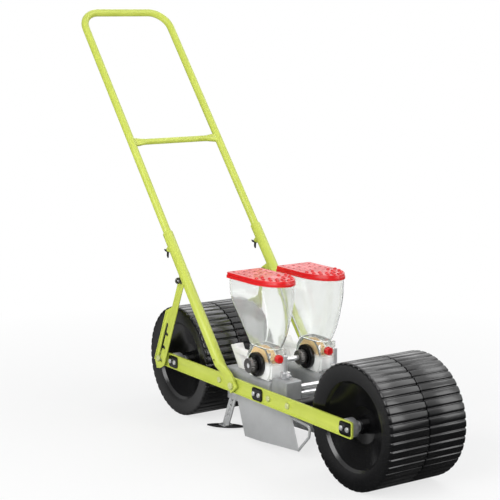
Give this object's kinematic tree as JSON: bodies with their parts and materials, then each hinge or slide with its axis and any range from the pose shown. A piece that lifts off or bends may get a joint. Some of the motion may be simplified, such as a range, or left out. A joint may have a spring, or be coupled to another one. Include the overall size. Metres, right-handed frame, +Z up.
{
  "type": "walk-behind seed planter",
  "caption": "Walk-behind seed planter with ribbed ground rollers, clear seed hoppers over metering rollers, furrow openers, trailing coverers and a telescopic push handle.",
  "frame": {"origin": "on the ground, midway between the front roller's front and the handle's rear end, on the machine's middle plane", "axes": "+X forwards along the direction of travel, +Y to the operator's left, +Z up"},
  "size_m": [1.261, 0.2796, 0.9878],
  "materials": {
    "lime_paint": "satin lime powder coat",
    "black_roller": "glossy black moulded plastic",
    "black_plastic": "black moulded plastic",
    "red_plastic": "bright red moulded plastic",
    "grey_steel": "mid-grey sheet steel",
    "cast_aluminium": "sand-cast aluminium",
    "bright_steel": "bright drawn steel",
    "zinc_steel": "zinc-plated fasteners",
    "clear_plastic": "clear moulded plastic",
    "tan_plastic": "tan moulded plastic",
    "white_plastic": "white moulded plastic",
    "chain_steel": "oiled chain steel",
    "black_steel": "black painted steel"
  },
  "bodies": {
    "frame": {"axle_bearings": "zinc_steel", "coverer_hangers": "zinc_steel", "cross_rods": "bright_steel", "cross_tube": "black_steel", "depth_clamps": "zinc_steel", "drive_chain": "chain_steel", "feed_chain": "chain_steel", "left_bearing_disc": "black_plastic", "left_brush_block": "white_plastic", "left_hopper": "clear_plastic", "left_roller_door": "clear_plastic", "left_roller_housing": "clear_plastic", "left_side_rail": "lime_paint", "left_unit_base": "cast_aluminium", "plate_bolts": "zinc_steel", "rail_bolts": "lime_paint", "rail_plates": "black_plastic", "right_bearing_disc": "black_plastic", "right_brush_block": "white_plastic", "right_hopper": "clear_plastic", "right_roller_door": "clear_plastic", "right_roller_housing": "clear_plastic", "right_side_rail": "lime_paint", "right_unit_base": "cast_aluminium"},
    "front_roller": {"front_axle": "bright_steel", "front_axle_collars": "zinc_steel", "front_left_drum": "black_roller", "front_right_drum": "black_roller", "axle_sprocket": "chain_steel"},
    "rear_roller": {"rear_axle": "bright_steel", "rear_axle_collars": "zinc_steel", "rear_left_drum": "black_roller", "rear_right_drum": "black_roller"},
    "seed_feed": {"seed_shaft": "bright_steel", "right_seed_roller": "tan_plastic", "left_seed_roller": "tan_plastic", "right_lock_knob": "chain_steel", "left_lock_knob": "chain_steel", "seed_sprocket": "chain_steel"},
    "idler": {"idler_sprockets": "chain_steel"},
    "handle_legs": {"right_lower_leg": "lime_paint", "left_lower_leg": "lime_paint", "strut_bolts": "chain_steel"},
    "handle_top": {"upper_handle": "lime_paint"},
    "right_clamp": {"right_clamp_screw": "black_steel"},
    "right_strut_arm": {"right_strut": "lime_paint"},
    "right_lid": {"right_hopper_lid": "red_plastic"},
    "right_knob": {"right_brush_knob": "red_plastic"},
    "right_boot": {"right_opener": "grey_steel", "right_depth_rod": "bright_steel"},
    "right_coverer": {"right_coverer_arm": "zinc_steel", "right_coverer_shoe": "black_steel"},
    "left_clamp": {"left_clamp_screw": "black_steel"},
    "left_strut_arm": {"left_strut": "lime_paint"},
    "left_lid": {"left_hopper_lid": "red_plastic"},
    "left_knob": {"left_brush_knob": "red_plastic"},
    "left_boot": {"left_opener": "grey_steel", "left_depth_rod": "bright_steel"},
    "left_coverer": {"left_coverer_arm": "zinc_steel", "left_coverer_shoe": "black_steel"}
  },
  "joints": [
    {"name": "front_roller_spin", "type": "hinge", "parent": "frame", "child": "front_roller", "pos_m": [0.49556, 0, 0.135], "axis": [0, 1, 0], "continuous": true},
    {"name": "rear_roller_spin", "type": "hinge", "parent": "frame", "child": "rear_roller", "pos_m": [-0.19044, 0, 0.135], "axis": [0, 1, 0], "continuous": true},
    {"name": "idler_spin", "type": "hinge", "parent": "frame", "child": "idler", "pos_m": [0.13156, 0.1235, 0.137], "axis": [0, 1, 0], "continuous": true},
    {"name": "seed_shaft_spin", "type": "hinge", "parent": "frame", "child": "seed_feed", "pos_m": [0.14956, 0, 0.197], "axis": [0, 1, 0], "continuous": true},
    {"name": "handle_tilt", "type": "hinge", "parent": "frame", "child": "handle_legs", "pos_m": [0.08056, 0, 0.135], "axis": [0, -1, 0], "range_deg": [0, 15]},
    {"name": "handle_slide", "type": "slide", "parent": "handle_legs", "child": "handle_top", "axis": [-0.6396, 0, 0.7687], "range_m": [-0.15, 0.05]},
    {"name": "right_clamp_turn", "type": "hinge", "parent": "handle_legs", "child": "right_clamp", "pos_m": [-0.1644, -0.127, 0.42942], "axis": [-0.7687, 0, -0.6396], "range_deg": [-180, 180]},
    {"name": "right_strut_swing", "type": "hinge", "parent": "handle_legs", "child": "right_strut_arm", "pos_m": [-0.13244, -0.1195, 0.348], "axis": [0, -1, 0], "range_deg": [-9.03, 0.5]},
    {"name": "right_lid_lift", "type": "slide", "parent": "frame", "child": "right_lid", "axis": [0, 0, 1], "range_m": [0, 0.06]},
    {"name": "right_brush_knob_turn", "type": "hinge", "parent": "frame", "child": "right_knob", "pos_m": [0.19656, -0.073, 0.216], "axis": [1, 0, 0], "range_deg": [-180, 180]},
    {"name": "right_opener_depth", "type": "slide", "parent": "frame", "child": "right_boot", "axis": [0, 0, 1], "range_m": [-0.025, 0.008]},
    {"name": "right_coverer_swing", "type": "hinge", "parent": "frame", "child": "right_coverer", "pos_m": [0.01456, -0.069, 0.093], "axis": [0, 1, 0], "range_deg": [0, 20]},
    {"name": "left_clamp_turn", "type": "hinge", "parent": "handle_legs", "child": "left_clamp", "pos_m": [-0.1644, 0.127, 0.42942], "axis": [-0.7687, 0, -0.6396], "range_deg": [-180, 180]},
    {"name": "left_strut_swing", "type": "hinge", "parent": "handle_legs", "child": "left_strut_arm", "pos_m": [-0.13244, 0.1195, 0.348], "axis": [0, -1, 0], "range_deg": [-9.03, 0.5]},
    {"name": "left_lid_lift", "type": "slide", "parent": "frame", "child": "left_lid", "axis": [0, 0, 1], "range_m": [0, 0.06]},
    {"name": "left_brush_knob_turn", "type": "hinge", "parent": "frame", "child": "left_knob", "pos_m": [0.19656, 0.065, 0.216], "axis": [1, 0, 0], "range_deg": [-180, 180]},
    {"name": "left_opener_depth", "type": "slide", "parent": "frame", "child": "left_boot", "axis": [0, 0, 1], "range_m": [-0.025, 0.008]},
    {"name": "left_coverer_swing", "type": "hinge", "parent": "frame", "child": "left_coverer", "pos_m": [0.01456, 0.069, 0.093], "axis": [0, 1, 0], "range_deg": [0, 20]}
  ],
  "couplings": [
    {"joint": "idler_spin", "follows": "front_roller_spin", "ratio": 1.3333},
    {"joint": "seed_shaft_spin", "follows": "front_roller_spin", "ratio": 1.3333},
    {"joint": "right_strut_swing", "follows": "handle_tilt", "ratio": -0.56841},
    {"joint": "left_strut_swing", "follows": "handle_tilt", "ratio": -0.56841}
  ]
}
